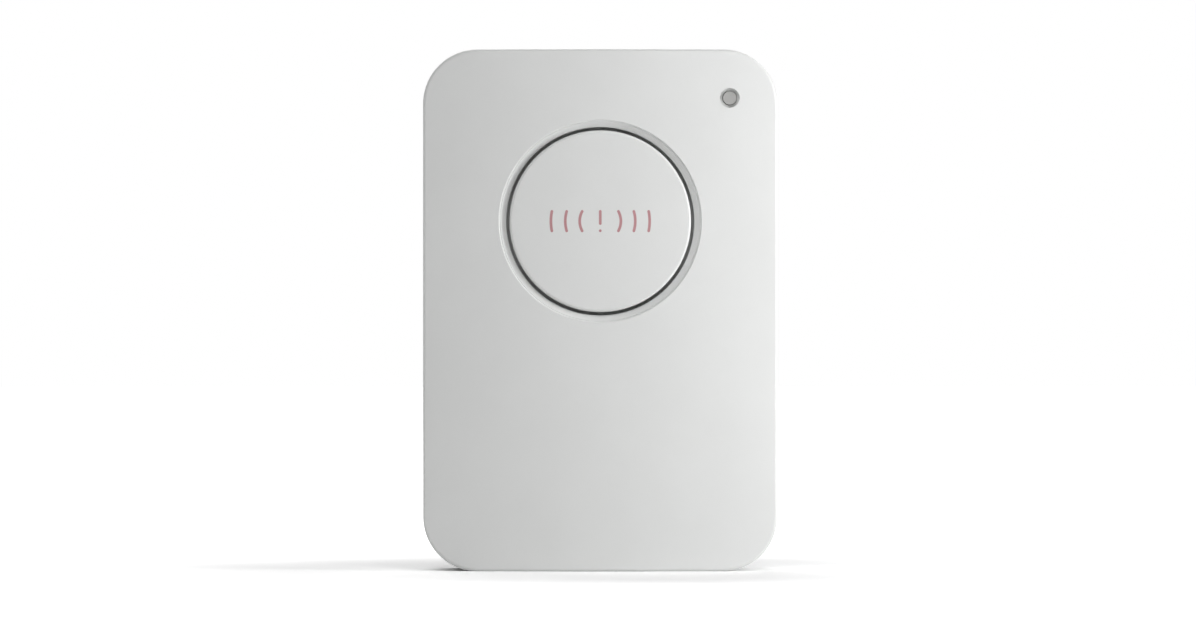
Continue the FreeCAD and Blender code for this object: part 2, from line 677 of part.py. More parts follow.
def rear_cover():
    """White back: flat face, lip with snap beads, battery well with a bayonet, two keyholes."""
    body = new_body("rear_cover")
    sketch = face_sketch(body, size.body_depth)
    outline(sketch, 0)
    solid = pad(body, sketch, size.body_depth - REAR_EDGE)
    soften(body, solid, edges_where(solid, lambda p: at_depth(p, size.body_depth)), size.back_round)
    sketch = face_sketch(body, REAR_EDGE)
    outline(sketch, size.wall)
    cut(body, sketch, size.body_depth - size.back_wall - REAR_EDGE)

    # Lip and snap beads.
    sketch = face_sketch(body, REAR_EDGE)
    outline(sketch, size.wall - size.lip_thickness)
    outline(sketch, size.wall)
    pad(body, sketch, size.seam_gap + size.lip_height)
    for height in SNAPS:
        sketch = plan_sketch(body, height - size.snap_length / 2)
        snap_outlines(sketch, 0)
        pad(body, sketch, size.snap_length)

    # Closed box behind each keyhole, then the keyhole through the wall.
    inner_face = size.body_depth - size.back_wall
    for height in KEYHOLES:
        sketch = face_sketch(body, inner_face + size.back_wall / 2, 0, height)
        slot(sketch, size.keyhole_radius + size.keyhole_room + size.keyhole_wall, 0, size.keyhole_drop)
        pad(body, sketch, size.back_wall / 2 + size.keyhole_pocket + size.keyhole_wall)
        sketch = face_sketch(body, inner_face, 0, height)
        slot(sketch, size.keyhole_radius + size.keyhole_room, 0, size.keyhole_drop)
        cut(body, sketch, size.keyhole_pocket, reverse=True)
        sketch = face_sketch(body, size.body_depth, 0, height)
        circle(sketch, size.keyhole_radius)
        cut(body, sketch, size.back_wall, reverse=True)
        sketch = face_sketch(body, size.body_depth, 0, height)
        slot(sketch, size.keyhole_slot, 0, size.keyhole_drop)
        cut(body, sketch, size.back_wall, reverse=True)

    # Well for the cell: tower, bayonet ledge, chamber for the lugs, seat ring and shelf.
    sketch = face_sketch(body, size.body_depth, 0, size.cell_height)
    circle(sketch, WELL_BORE)
    cut(body, sketch, size.back_wall, reverse=True)
    sketch = turned_sketch(body, size.cell_height)
    polygon(sketch, [
        (SHELF_FRONT, size.cell_radius - size.shelf_reach),
        (SHELF_FRONT, WELL_OUTER),
        (inner_face + size.back_wall / 2, WELL_OUTER),
        (inner_face + size.back_wall / 2, WELL_BORE),
        (LEDGE_BACK, WELL_BORE),
        (LEDGE_BACK, LEDGE_RADIUS),
        (LEDGE_FRONT, LEDGE_RADIUS),
        (LEDGE_FRONT, WELL_BORE),
        (CHAMBER_END, WELL_BORE),
        (CHAMBER_END, SKIRT_INNER),
        (SHELF_BACK, SKIRT_INNER),
        (SHELF_BACK, size.cell_radius - size.shelf_reach),
    ])
    turn(body, sketch)

    # Entry notches in the ledge, and stops at both ends of each lug's turn.
    sketch = turned_sketch(body, size.cell_height, spin=size.door_turn)
    box(sketch, LEDGE_FRONT, LEDGE_BACK, LEDGE_RADIUS - size.door_clearance, WELL_BORE)
    notch = turn(body, sketch, "Groove", size.lug_angle + 2 * size.lug_slack)
    ring_of(body, notch, sketch, "H_Axis", size.lug_count)
    past_lug = size.lug_angle / 2 + size.lug_slack + size.stop_angle / 2
    for spin in (-past_lug, size.door_turn + past_lug):
        sketch = turned_sketch(body, size.cell_height, spin=spin)
        box(sketch, CHAMBER_END, LEDGE_FRONT, LEDGE_RADIUS, WELL_BORE)
        stop = turn(body, sketch, angle=size.stop_angle)
        ring_of(body, stop, sketch, "H_Axis", size.lug_count)

    # Slot through the well for the contact that reaches the cell's rim.
    sketch = plan_sketch(body, size.cell_height - size.contact_width / 2 - size.contact_clearance)
    box(sketch, SKIRT_INNER - size.contact_clearance, WELL_OUTER + OVERRUN, SHELF_FRONT, CHAMBER_END)
    cut(body, sketch, size.contact_width + 2 * size.contact_clearance, reverse=True)


def panic_button():
    """White cap: crowned top that follows the housing, skirt, stop flange, ribs, seat and post."""
    body = new_body("panic_button")
    sketch = face_sketch(body, FLANGE_BACK, 0, size.button_height)
    circle(sketch, size.button_radius)
    pad(body, sketch, FLANGE_BACK)
    solid = crown(body, size.button_radius + OVERRUN)
    soften(body, solid, edges_where(solid, on_crown), size.button_round)
    sketch = face_sketch(body, FLANGE_BACK, 0, size.button_height)
    circle(sketch, BORE + size.flange_reach)
    pad(body, sketch, size.flange_thickness)
    inner = size.button_radius - size.skirt_wall
    sketch = face_sketch(body, FLANGE_BACK, 0, size.button_height)
    circle(sketch, inner)
    cut(body, sketch, FLANGE_BACK - size.cap_wall, reverse=True)

    # Notches that run on the housing's keys.
    sketch = face_sketch(body, FLANGE_BACK, 0, size.button_height)
    half_notch = size.key_width / 2 + size.key_clearance
    box(sketch, -half_notch, half_notch, BORE, COLLAR_OUTER)
    notch = cut(body, sketch, size.flange_thickness, reverse=True)
    ring_of(body, notch, sketch, "N_Axis", size.key_count)

    # Ring that centres the spring, post that meets the switch, and ribs from ring to skirt.
    ring_outer = size.spring_radius - size.spring_wire / 2 - size.key_clearance
    sketch = face_sketch(body, size.cap_wall + 2 * size.spring_wire, 0, size.button_height)
    circle(sketch, ring_outer)
    circle(sketch, ring_outer - size.rib_thickness)
    pad(body, sketch, 2 * size.spring_wire + size.cap_wall / 2)
    sketch = face_sketch(body, POST_END, 0, size.button_height)
    circle(sketch, size.post_radius)
    pad(body, sketch, POST_END - size.cap_wall / 2)
    sketch = face_sketch(body, size.cap_wall + size.rib_height, 0, size.button_height)
    half_rib = size.rib_thickness / 2
    seat_edge = size.spring_radius + size.spring_wire / 2 + size.key_clearance
    box(sketch, -half_rib, half_rib, seat_edge, inner + size.skirt_wall / 2)
    rib = pad(body, sketch, size.rib_height + size.cap_wall / 2)
    ring_of(body, rib, sketch, "N_Axis", size.rib_count)


def return_spring():
    """Steel coil between the cap and the board."""
    body = new_body("return_spring")
    seat = size.board_depth - size.spring_clearance - size.spring_wire / 2
    height = seat - size.cap_wall - size.spring_clearance - size.spring_wire / 2
    sketch = turned_sketch(body, size.button_height)
    circle(sketch, size.spring_wire / 2, seat, size.spring_radius)
    coil = body.newObject("PartDesign::AdditiveHelix", "return_spring_coil")
    coil.Profile = sketch
    coil.ReferenceAxis = (sketch, ["H_Axis"])
    coil.Mode = "height-turns-angle"
    coil.Reversed = True
    coil.setExpression("Height", height.text)
    coil.setExpression("Turns", size.spring_turns.text)


def light_pipe():
    """Clear rod with a flange, from the face to the light on the board."""
    body = new_body("light_pipe")
    tip = drop(LENS_ACROSS) + size.lens_recess
    end = size.board_depth - size.led_height - size.led_gap
    sketch = turned_sketch(body, LENS_HEIGHT, LENS_ACROSS)
    polygon(sketch, [
        (tip, 0),
        (tip, size.lens_radius),
        (LENS_FLANGE_FRONT, size.lens_radius),
        (LENS_FLANGE_FRONT, size.lens_flange),
        (LENS_FLANGE_BACK, size.lens_flange),
        (LENS_FLANGE_BACK, size.lens_radius),
        (end, size.lens_radius),
        (end, 0),
    ])
    turn(body, sketch)


def circuit_board():
    """Board with rounded corners and four screw holes."""
    body = new_body("circuit_board")
    sketch = face_sketch(body, BOARD_BACK)
    outline(sketch, size.wall + size.board_gap)
    pad(body, sketch, size.board_thickness)
    sketch = face_sketch(body, BOARD_BACK)
    for across, height in BOSSES:
        circle(sketch, size.screw_radius + size.screw_play, across, height)
    cut(body, sketch, size.board_thickness, reverse=True)


def board_screws():
    """Four pan-head screws with a cross recess."""
    body = new_body("board_screws")
    under = BOARD_BACK + size.boss_clearance
    sketch = face_sketch(body, under + size.screw_head_height)
    for across, height in BOSSES:
        circle(sketch, size.screw_head_radius, across, height)
    pad(body, sketch, size.screw_head_height)
    sketch = face_sketch(body, under)
    for across, height in BOSSES:
        circle(sketch, size.screw_radius, across, height)
    pad(body, sketch, size.screw_length)
    arm = 2 * size.screw_head_radius - 2 * size.screw_recess
    for width, height in ((arm, size.screw_recess), (size.screw_recess, arm)):
        sketch = face_sketch(body, under + size.screw_head_height)
        for across, up in BOSSES:
            block(sketch, width, height, across, up)
        cut(body, sketch, size.screw_recess, reverse=True)


def tact_switch():
    """Switch under the button: base with a chamber, snap dome, plunger, steel frame and four legs."""
    half = size.switch_side / 2
    base = new_body("switch_base")
    sketch = face_sketch(base, size.board_depth, 0, size.button_height)
    block(sketch, size.switch_side, size.switch_side)
    pad(base, sketch, size.switch_body)
    sketch = face_sketch(base, CHAMBER_FLOOR, 0, size.button_height)
    circle(sketch, CHAMBER_RADIUS)
    cut(base, sketch, size.chamber_depth, reverse=True)

    frame = new_body("switch_frame")
    under = SWITCH_TOP - size.switch_clearance
    sketch = face_sketch(frame, under, 0, size.button_height)
    block(sketch, size.switch_side, size.switch_side)
    pad(frame, sketch, size.frame_sheet)
    tab_foot = SWITCH_TOP + size.frame_tab
    sketch = face_sketch(frame, tab_foot, 0, size.button_height)
    near, far = half + size.switch_clearance, half + size.switch_clearance + size.frame_sheet
    box(sketch, -size.frame_tab / 2, size.frame_tab / 2, near, far)
    box(sketch, -size.frame_tab / 2, size.frame_tab / 2, -far, -near)
    pad(frame, sketch, tab_foot - under + size.frame_sheet)
    sketch = face_sketch(frame, under, 0, size.button_height)
    box(sketch, -size.frame_tab / 2, size.frame_tab / 2, half / 2, far)
    box(sketch, -size.frame_tab / 2, size.frame_tab / 2, -far, -half / 2)
    pad(frame, sketch, size.frame_sheet)
    sketch = face_sketch(frame, under, 0, size.button_height)
    circle(sketch, size.plunger_radius + size.plunger_clearance)
    cut(frame, sketch, size.frame_sheet, reverse=True)

    plunger = new_body("switch_plunger")
    sketch = turned_sketch(plunger, size.button_height)
    foot_front = SWITCH_TOP + size.switch_clearance
    foot_back = DOME_TOP - size.switch_clearance
    polygon(sketch, [
        (PLUNGER_TOP, 0),
        (PLUNGER_TOP, size.plunger_radius),
        (foot_front, size.plunger_radius),
        (foot_front, size.plunger_radius + size.plunger_foot),
        (foot_back, size.plunger_radius + size.plunger_foot),
        (foot_back, 0),
    ])
    turn(plunger, sketch)

    dome = new_body("switch_dome")
    sketch = turned_sketch(dome, size.button_height)
    rim = CHAMBER_FLOOR - size.switch_clearance
    outer = size.plunger_radius + size.plunger_foot
    polygon(sketch, [
        (rim, outer),
        (rim - size.dome_sheet, outer),
        (DOME_TOP, outer / 2),
        (DOME_TOP, 0),
        (DOME_TOP + size.dome_sheet, 0),
        (DOME_TOP + size.dome_sheet, outer / 2),
        (rim, outer - size.dome_sheet),
    ])
    turn(dome, sketch)

    legs = new_body("switch_terminals")
    start, knee, toe = half + size.switch_clearance, half + size.leg_reach / 3, half + size.leg_reach
    rise, sheet = size.board_depth - size.leg_rise, size.frame_sheet
    floor = size.board_depth - size.boss_clearance
    corners = [
        (start, rise - sheet),
        (knee + sheet, rise - sheet),
        (knee + sheet, floor - sheet),
        (toe, floor - sheet),
        (toe, floor),
        (knee, floor),
        (knee, rise),
        (start, rise),
    ]
    for side in (-1, 1):
        low = size.button_height + side * size.leg_across - size.leg_width / 2
        sketch = plan_sketch(legs, low)
        polygon(sketch, corners)
        polygon(sketch, mirrored(corners))
        pad(legs, sketch, size.leg_width)


def on_board(name, parts, rise):
    """Square-cut components soldered to the board's front: their width, height and place."""
    body = new_body(name)
    sketch = face_sketch(body, size.board_depth - size.boss_clearance)
    for width, height, across, up in parts:
        block(sketch, width, height, across, up)
    pad(body, sketch, rise)


def board_components():
    """Indicator light, radio chip, crystal, reservoir capacitor and two rows of small parts."""
    on_board("status_led", [(size.led_side, size.led_side, LENS_ACROSS, LENS_HEIGHT)], size.led_height)
    middle = size.chip_height
    on_board("radio_chip", [(size.chip_side, size.chip_side, 0, middle)], size.chip_rise)
    crystal = (size.crystal_length, size.crystal_width, size.chip_spacing, middle)
    on_board("crystal", [crystal], size.crystal_rise)
    reservoir = (size.reservoir_length, size.reservoir_width, -size.chip_spacing, middle)
    on_board("reservoir_capacitor", [reservoir], size.reservoir_rise)
    for name, count, height, rise in (
        ("chip_capacitors", 6, middle + size.row_spacing, size.capacitor_rise),
        ("chip_resistors", 5, middle - size.row_spacing, size.resistor_rise),
    ):
        places = [(number - (count - 1) / 2) * size.row_pitch for number in range(count)]
        row = [(size.small_width, size.small_length, across, height) for across in places]
        on_board(name, row, rise)


def antenna_wire():
    """Wire loop that stands off the board: two short legs and a level run with round bends."""
    body = new_body("antenna_wire")
    half, bend = size.antenna_width / 2, size.antenna_bend
    front, foot = size.board_depth - size.antenna_rise, size.board_depth - size.boss_clearance
    path = plan_sketch(body, size.antenna_height)
    w, a, b, r = half.number, front.number, foot.number, bend.number
    points = [(-w, b), (-w, a + r), (r - w, a), (w - r, a), (w, a + r), (w, b)]
    places = [Vector(x, y, 0) for x, y in points]
    lines = [path.addGeometry(Part.LineSegment(places[k], places[k + 1])) for k in (0, 2, 4)]
    corners = []
    for x, start in ((r - w, math.pi), (w - r, 1.5 * math.pi)):
        ring = Part.Circle(Vector(x, a + r, 0), Vector(0, 0, 1), r)
        corners.append(path.addGeometry(Part.ArcOfCircle(ring, start, start + math.pi / 2)))
    joints = [(lines[0], 2, corners[0], 1), (corners[0], 2, lines[1], 1)]
    joints += [(lines[1], 2, corners[1], 1), (corners[1], 2, lines[2], 1)]
    for joined in joints:
        path.addConstraint(Sketcher.Constraint("Tangent", *joined))
    for line, kind in zip(lines, ("Vertical", "Horizontal", "Vertical")):
        path.addConstraint(Sketcher.Constraint(kind, line))
    path.addConstraint(Sketcher.Constraint("Equal", corners[0], corners[1]))
    tie(path, "Radius", (corners[0],), bend)
    tie(path, "DistanceX", (lines[0], 1, -1, 1), half)
    tie(path, "DistanceX", (-1, 1, lines[2], 2), half)
    tie(path, "DistanceY", (-1, 1, lines[0], 1), foot)
    tie(path, "DistanceY", (-1, 1, lines[2], 2), foot)
    tie(path, "DistanceY", (-1, 1, lines[1], 1), front)
    profile = face_sketch(body, foot)
    circle(profile, size.antenna_radius, -half, size.antenna_height)
    sweep = body.newObject("PartDesign::AdditivePipe", "antenna_wire_run")
    sweep.Profile = profile
    sweep.Spine = (path, [])


def coin_cell():
    """Steel coin cell with its smaller face towards the board."""
    body = new_body("coin_cell")
    sketch = turned_sketch(body, size.cell_height)
    shoulder = CELL_FRONT + size.cell_step_height
    inner = size.cell_radius - size.cell_step
    polygon(sketch, [
        (CELL_FRONT, 0),
        (CELL_FRONT, inner),
        (shoulder, inner),
        (shoulder, size.cell_radius),
        (CELL_BACK, size.cell_radius),
        (CELL_BACK, 0),
    ])
    solid = turn(body, sketch)

    def on_edge(point):
        return at_depth(point, CELL_BACK) and from_axis(point, size.cell_height) > inner.number

    soften(body, solid, edges_where(solid, on_edge), size.cell_round)


def battery_contacts():
    """Two spring strips from the back of the board: one to the cell's rim, one to its small face."""
    board, sheet = BOARD_BACK + size.boss_clearance, size.contact_sheet
    low = size.cell_height - size.contact_width / 2

    rim = new_body("positive_contact")
    touch = size.cell_radius + size.contact_gap
    leg = touch + 4 * sheet
    knee, tip = SHELF_BACK + 2 * sheet, LUG_FRONT - size.door_clearance
    sketch = plan_sketch(rim, low)
    polygon(sketch, [
        (leg + size.contact_foot, board),
        (leg + size.contact_foot, board + sheet),
        (leg + sheet, board + sheet),
        (leg + sheet, knee),
        (touch + sheet, tip),
        (touch, tip),
        (leg, knee - sheet),
        (leg, board),
    ])
    pad(rim, sketch, size.contact_width)

    face = new_body("negative_contact")
    heel = -size.leaf_reach + size.contact_foot
    crest = CELL_FRONT - size.contact_gap
    sketch = plan_sketch(face, low)
    polygon(sketch, [
        (-size.leaf_reach, board),
        (heel, board),
        (-size.contact_width / 2, crest - sheet),
        (size.contact_width / 2, crest - sheet),
        (size.contact_width, crest - 4 * sheet),
        (size.contact_width + sheet, crest - 3 * sheet),
        (size.contact_width / 2 + sheet / 2, crest),
        (-size.contact_width / 2 - sheet / 2, crest),
        (heel - sheet / 2, board + sheet),
        (-size.leaf_reach, board + sheet),
    ])
    pad(face, sketch, size.contact_width)


def battery_door():
    """Round door with a coin slot, a skirt round the cell and three bayonet lugs."""
    body = new_body("battery_door")
    sketch = turned_sketch(body, size.cell_height)
    polygon(sketch, [
        (DOOR_INNER, 0),
        (DOOR_FACE, 0),
        (DOOR_FACE, size.door_radius),
        (HEAD_UNDER, size.door_radius),
        (HEAD_UNDER, SKIRT_OUTER),
        (LUG_FRONT, SKIRT_OUTER),
        (LUG_FRONT, SKIRT_INNER),
        (DOOR_INNER, SKIRT_INNER),
    ])
    solid = turn(body, sketch)

    def on_edge(point):
        return at_depth(point, DOOR_FACE) and from_axis(point, size.cell_height) > SKIRT_OUTER.number

    soften(body, solid, edges_where(solid, on_edge), size.door_round)
    sketch = turned_sketch(body, size.cell_height)
    box(sketch, LUG_FRONT, LUG_BACK, SKIRT_OUTER - size.door_skirt / 2, SKIRT_OUTER + size.lug_reach)
    lug = turn(body, sketch, angle=size.lug_angle)
    ring_of(body, lug, sketch, "H_Axis", size.lug_count)
    sketch = face_sketch(body, DOOR_FACE, 0, size.cell_height)
    reach = (size.coin_slot_length - size.coin_slot_width) / 2
    slot(sketch, size.coin_slot_width / 2, -reach, reach, level=True)
    cut(body, sketch, size.coin_slot_depth, reverse=True)


def door_seal():
    """Rubber ring between the door's rim and the ledge."""
    body = new_body("door_seal")
    sketch = turned_sketch(body, size.cell_height)
    cord = size.seal_cord / 2
    spare = size.seal_clearance + cord
    circle(sketch, cord, LEDGE_BACK + spare, SKIRT_OUTER + spare)
    turn(body, sketch)


def check():
    """Stops before anything is written if a feature failed or a piece is not sound."""
    for thing in doc.Objects:
        if {"Invalid", "Error"} & set(thing.State):
            raise RuntimeError(f"{thing.Name} failed: {thing.State}")
    for body in sub_parts:
        if body.Shape.isNull() or not body.Shape.isValid():
            raise RuntimeError(f"{body.Label} has no sound shape")


def export():
    """Writes each piece to a file of its own name."""
    os.makedirs("parts", exist_ok=True)
    for body in sub_parts:
        body.Shape.exportStep(f"parts/{body.Label}.step")


fill_sheet()
front_cover()
rear_cover()
panic_button()
return_spring()
light_pipe()
circuit_board()
board_screws()
tact_switch()
board_components()
antenna_wire()
coin_cell()
battery_contacts()
battery_door()
door_seal()
doc.recompute()
check()
export()
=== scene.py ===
"""Wireless panic button, standing on its short edge on a pale floor."""

import bpy
import numpy as np
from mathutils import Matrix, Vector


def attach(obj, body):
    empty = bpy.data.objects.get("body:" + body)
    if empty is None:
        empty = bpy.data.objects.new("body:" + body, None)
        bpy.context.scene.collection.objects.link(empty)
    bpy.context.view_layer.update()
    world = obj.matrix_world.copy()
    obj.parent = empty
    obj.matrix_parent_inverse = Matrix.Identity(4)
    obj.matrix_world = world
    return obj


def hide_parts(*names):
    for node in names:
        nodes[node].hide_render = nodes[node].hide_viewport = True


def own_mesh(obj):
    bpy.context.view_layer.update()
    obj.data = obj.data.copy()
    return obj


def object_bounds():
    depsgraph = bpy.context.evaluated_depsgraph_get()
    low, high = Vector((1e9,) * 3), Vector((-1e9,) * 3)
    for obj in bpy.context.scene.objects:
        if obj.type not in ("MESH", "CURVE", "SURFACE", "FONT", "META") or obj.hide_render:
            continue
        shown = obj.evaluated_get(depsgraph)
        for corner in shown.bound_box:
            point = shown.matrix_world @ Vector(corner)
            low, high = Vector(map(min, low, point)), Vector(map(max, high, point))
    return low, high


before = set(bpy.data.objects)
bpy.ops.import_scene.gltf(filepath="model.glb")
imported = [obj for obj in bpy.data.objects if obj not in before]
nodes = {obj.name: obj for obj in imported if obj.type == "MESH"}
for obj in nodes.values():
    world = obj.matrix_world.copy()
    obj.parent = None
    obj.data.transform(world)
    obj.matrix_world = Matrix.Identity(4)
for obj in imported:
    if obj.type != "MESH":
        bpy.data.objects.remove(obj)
cad_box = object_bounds()
MM = 0.001

# Camera.
# The photograph faces the button squarely from its own mid-height, with a long lens: neither the
# top nor a side shows, and the floor is a narrow strip. Sizes are true at the face's edges.
PHOTO_WIDTH_PX, PHOTO_HEIGHT_PX = 1196, 628
BODY_TOP_PX, BODY_BASE_PX, BODY_MIDDLE_PX = 49.3, 571.3, 600.25
CAMERA_DISTANCE = 1.2
FACE_EDGE_DEPTH = 1.5 * MM

body_low, body_high = (np.array(corner) for corner in cad_box)
metres_per_px = (body_high[2] - body_low[2]) / (BODY_BASE_PX - BODY_TOP_PX)
lens = bpy.data.cameras.new("camera")
lens.lens = lens.sensor_width * CAMERA_DISTANCE / (PHOTO_WIDTH_PX * metres_per_px)
camera = bpy.data.objects.new("camera", lens)
camera.location = (
    (PHOTO_WIDTH_PX / 2 - BODY_MIDDLE_PX) * metres_per_px,
    body_low[1] + FACE_EDGE_DEPTH - CAMERA_DISTANCE,
    (BODY_BASE_PX - PHOTO_HEIGHT_PX / 2) * metres_per_px,
)
camera.rotation_euler = (np.pi / 2, 0, 0)
bpy.context.scene.collection.objects.link(camera)
bpy.context.scene.camera = camera
bpy.context.scene.view_settings.view_transform = "Standard"

# Light and floor.
# A small soft box stands close by, far round to the right, so that the crowned face falls off
# evenly towards the left. A wide one hangs in front and above, one behind, and the room fills in
# the rest.
SOFT_BOXES = {
    "side_box": dict(bearing=68, height=5, distance=0.3, size=(0.12, 0.12), power=0.58),
    "front_box": dict(bearing=0, height=50, distance=1.5, size=(1.0, 0.67), power=7.7),
    "back_box": dict(bearing=195, height=40, distance=1.2, size=(0.9, 0.6), power=5.4),
}
ROOM_STRENGTH = 0.14
FLOOR_COLOUR, FLOOR_REACH = "f4f4f4", 3.0
FLOOR_LIFT = 1.5
GLOW_STARTS, GLOW_FULL = 40 * MM, 130 * MM
COLOUR_MIX = {"data_type": "RGBA"}


def linear(colour):
    """An sRGB hex colour as linear red, green, blue and an alpha of one."""
    channels = np.array([int(colour[i:i + 2], 16) for i in (0, 2, 4)]) / 255
    low, high = channels / 12.92, ((channels + 0.055) / 1.055) ** 2.4
    return (*np.where(channels <= 0.04045, low, high), 1.0)


def add(tree, kind, settings=None, **inputs):
    """Adds one shader node. settings go on the node, inputs are values or output sockets.

    An input named _0 is the node's first socket. A mix of colours takes its share on 0 and the two
    colours on 6 and 7, and gives the result on output 2. A map range takes its value on 0, the
    range that it reads on 1 and 2, and the range that it gives on 3 and 4.
    """
    node = tree.nodes.new("ShaderNode" + kind)
    for name, amount in (settings or {}).items():
        setattr(node, name, amount)
    for name, amount in inputs.items():
        numbered = name[1:].isdigit()
        socket = node.inputs[int(name[1:]) if numbered else name.replace("_", " ")]
        if isinstance(amount, bpy.types.NodeSocket):
            tree.links.new(amount, socket)
        else:
            socket.default_value = amount
    return node


def new_material(name):
    """An empty node material and its tree."""
    material = bpy.data.materials.new(name)
    material.use_nodes = True
    material.node_tree.nodes.clear()
    return material, material.node_tree


def seen_rays(tree):
    """One for rays that show the background: to the camera, mirrored, or through a clear piece."""
    rays = add(tree, "LightPath").outputs
    seen = add(tree, "Math", {"operation": "MAXIMUM"},
               _0=rays["Is Camera Ray"], _1=rays["Is Glossy Ray"])
    return add(tree, "Math", {"operation": "MAXIMUM"},
               _0=seen.outputs[0], _1=rays["Is Transmission Ray"]).outputs[0]


def mesh_object(name, points, faces):
    """A smooth mesh object from an array of points in metres and lists of faces."""
    mesh = bpy.data.meshes.new(name)
    mesh.from_pydata(points.tolist(), [], faces)
    mesh.polygons.foreach_set("use_smooth", np.ones(len(faces), dtype=bool))
    mesh.update()
    obj = bpy.data.objects.new(name, mesh)
    bpy.context.scene.collection.objects.link(obj)
    return obj


middle = (body_low + body_high) / 2
for name, box in SOFT_BOXES.items():
    bearing, height = np.radians(box["bearing"]), np.radians(box["height"])
    lamp = bpy.data.lights.new(name, "AREA")
    lamp.shape = "RECTANGLE"
    lamp.size, lamp.size_y = box["size"]
    lamp.energy = box["power"]
    stand = bpy.data.objects.new(name, lamp)
    level = np.array([np.sin(bearing), -np.cos(bearing), 0]) * np.cos(height)
    stand.location = middle + box["distance"] * (level + (0, 0, np.sin(height)))
    stand.rotation_euler = (np.pi / 2 - height, 0, bearing)
    bpy.context.scene.collection.objects.link(stand)

room = bpy.data.worlds.new("room")
room.use_nodes = True
room.node_tree.nodes.clear()
strength = add(room.node_tree, "MapRange", _0=seen_rays(room.node_tree), _3=ROOM_STRENGTH, _4=1.0)
walls = add(room.node_tree, "Background", Color=linear("ffffff"), Strength=strength.outputs[0])
add(room.node_tree, "OutputWorld", Surface=walls.outputs[0])
bpy.context.scene.world = room

# The paper is lifted to white for the camera, in proportion, so that it keeps the shadow, and it
# glows into the white background further out.
paper_material, tree = new_material("floor_paper")
seen = seen_rays(tree)
colour = linear(FLOOR_COLOUR)
lifted = (*(FLOOR_LIFT * channel for channel in colour[:3]), 1.0)
shade = add(tree, "Mix", COLOUR_MIX, _0=seen, _6=colour, _7=lifted)
place = add(tree, "TexCoord").outputs["Object"]
away = add(tree, "VectorMath", {"operation": "LENGTH"}, _0=place)
rise = add(tree, "MapRange", {"interpolation_type": "SMOOTHSTEP"}, _0=away.outputs["Value"],
           _1=GLOW_STARTS, _2=GLOW_FULL)
glow = add(tree, "Math", {"operation": "MULTIPLY"}, _0=rise.outputs[0], _1=seen)
paper = add(tree, "BsdfDiffuse", Color=shade.outputs[2])
light = add(tree, "Emission", Color=linear("ffffff"), Strength=glow.outputs[0])
both = add(tree, "AddShader", _0=paper.outputs[0], _1=light.outputs[0])
add(tree, "OutputMaterial", Surface=both.outputs[0])
corners = FLOOR_REACH * np.array([[-1, -1, 0], [1, -1, 0], [1, 1, 0], [-1, 1, 0]])
floor = mesh_object("floor", corners, [[0, 1, 2, 3]])
floor.data.materials.append(paper_material)

# Housing: front cover and rear cover.
# Two injection-moulded shells of white ABS that snap together. The mould is spark-eroded to a fine
# grain, which gives an even satin face with no sharp reflections.
ABS_LOOK = dict(colour="e4e5e4", cloud="e2e3e2", ior=1.53, roughness=0.48)
CLOUD_MM, CLOUD_RANGE = 11.0, (0.35, 0.65)
NOISE_RANGE = (0.3, 0.7)

# The real grain is finer than a pixel, so it is drawn one to two pixels wide.
GRAIN_MM, GRAIN_DEPTH_MM, GRAIN_GLOSS = 0.25, 0.003, 0.04


def moulded(name, colour, cloud, ior, roughness, paint=None):
    """Grained plastic: two near tones in slow clouds, and a fine noise for height and gloss.

    paint(tree, place, colour) may lay a print over the colour, and gives the new colour.
    """
    material, tree = new_material(name)
    place = add(tree, "TexCoord").outputs["Object"]
    clouds = add(tree, "TexNoise", Vector=place, Scale=1 / (CLOUD_MM * MM), Detail=3.0)
    share = add(tree, "MapRange", _0=clouds.outputs[0], _1=CLOUD_RANGE[0], _2=CLOUD_RANGE[1])
    shade = add(tree, "Mix", COLOUR_MIX, _0=share.outputs[0], _6=linear(colour),
                _7=linear(cloud)).outputs[2]
    if paint:
        shade = paint(tree, place, shade)
    grain = add(tree, "TexNoise", Vector=place, Scale=1 / (GRAIN_MM * MM), Detail=2.0)
    gloss = add(tree, "MapRange", _0=grain.outputs[0], _1=NOISE_RANGE[0], _2=NOISE_RANGE[1],
                _3=roughness - GRAIN_GLOSS, _4=roughness + GRAIN_GLOSS)
    bump = add(tree, "Bump", Strength=0.5, Distance=GRAIN_DEPTH_MM * MM, Height=grain.outputs[0])
    plastic = add(tree, "BsdfPrincipled", Base_Color=shade, Roughness=gloss.outputs[0], IOR=ior,
                  Normal=bump.outputs[0])
    add(tree, "OutputMaterial", Surface=plastic.outputs[0])
    return material


def finish(material, *names):
    """Gives CAD nodes one material."""
    for name in names:
        nodes[name].data.materials.clear()
        nodes[name].data.materials.append(material)


white_abs = moulded("white_abs", **ABS_LOOK)
finish(white_abs, "front_cover", "rear_cover")

# Push cap.
# The same white ABS, crowned like the face around it, with a small alarm sign pad-printed in muted
# red ink: an exclamation mark between three sound waves on each side. The ink is too thin to feel,
# so it changes the colour alone.
CAP_CENTRE = (0.0, 51.1)
INK = "b8868a"
STROKE_MM, INK_EDGE_MM = 0.40, 0.03
WAVE_RADII_MM, SIGN_HALF_MM = (3.0, 5.1, 7.2), 1.42
BAR_MM, DOT_MM = (-0.35, 1.42), -1.40
PRINT_DEPTH_MM = 1.0


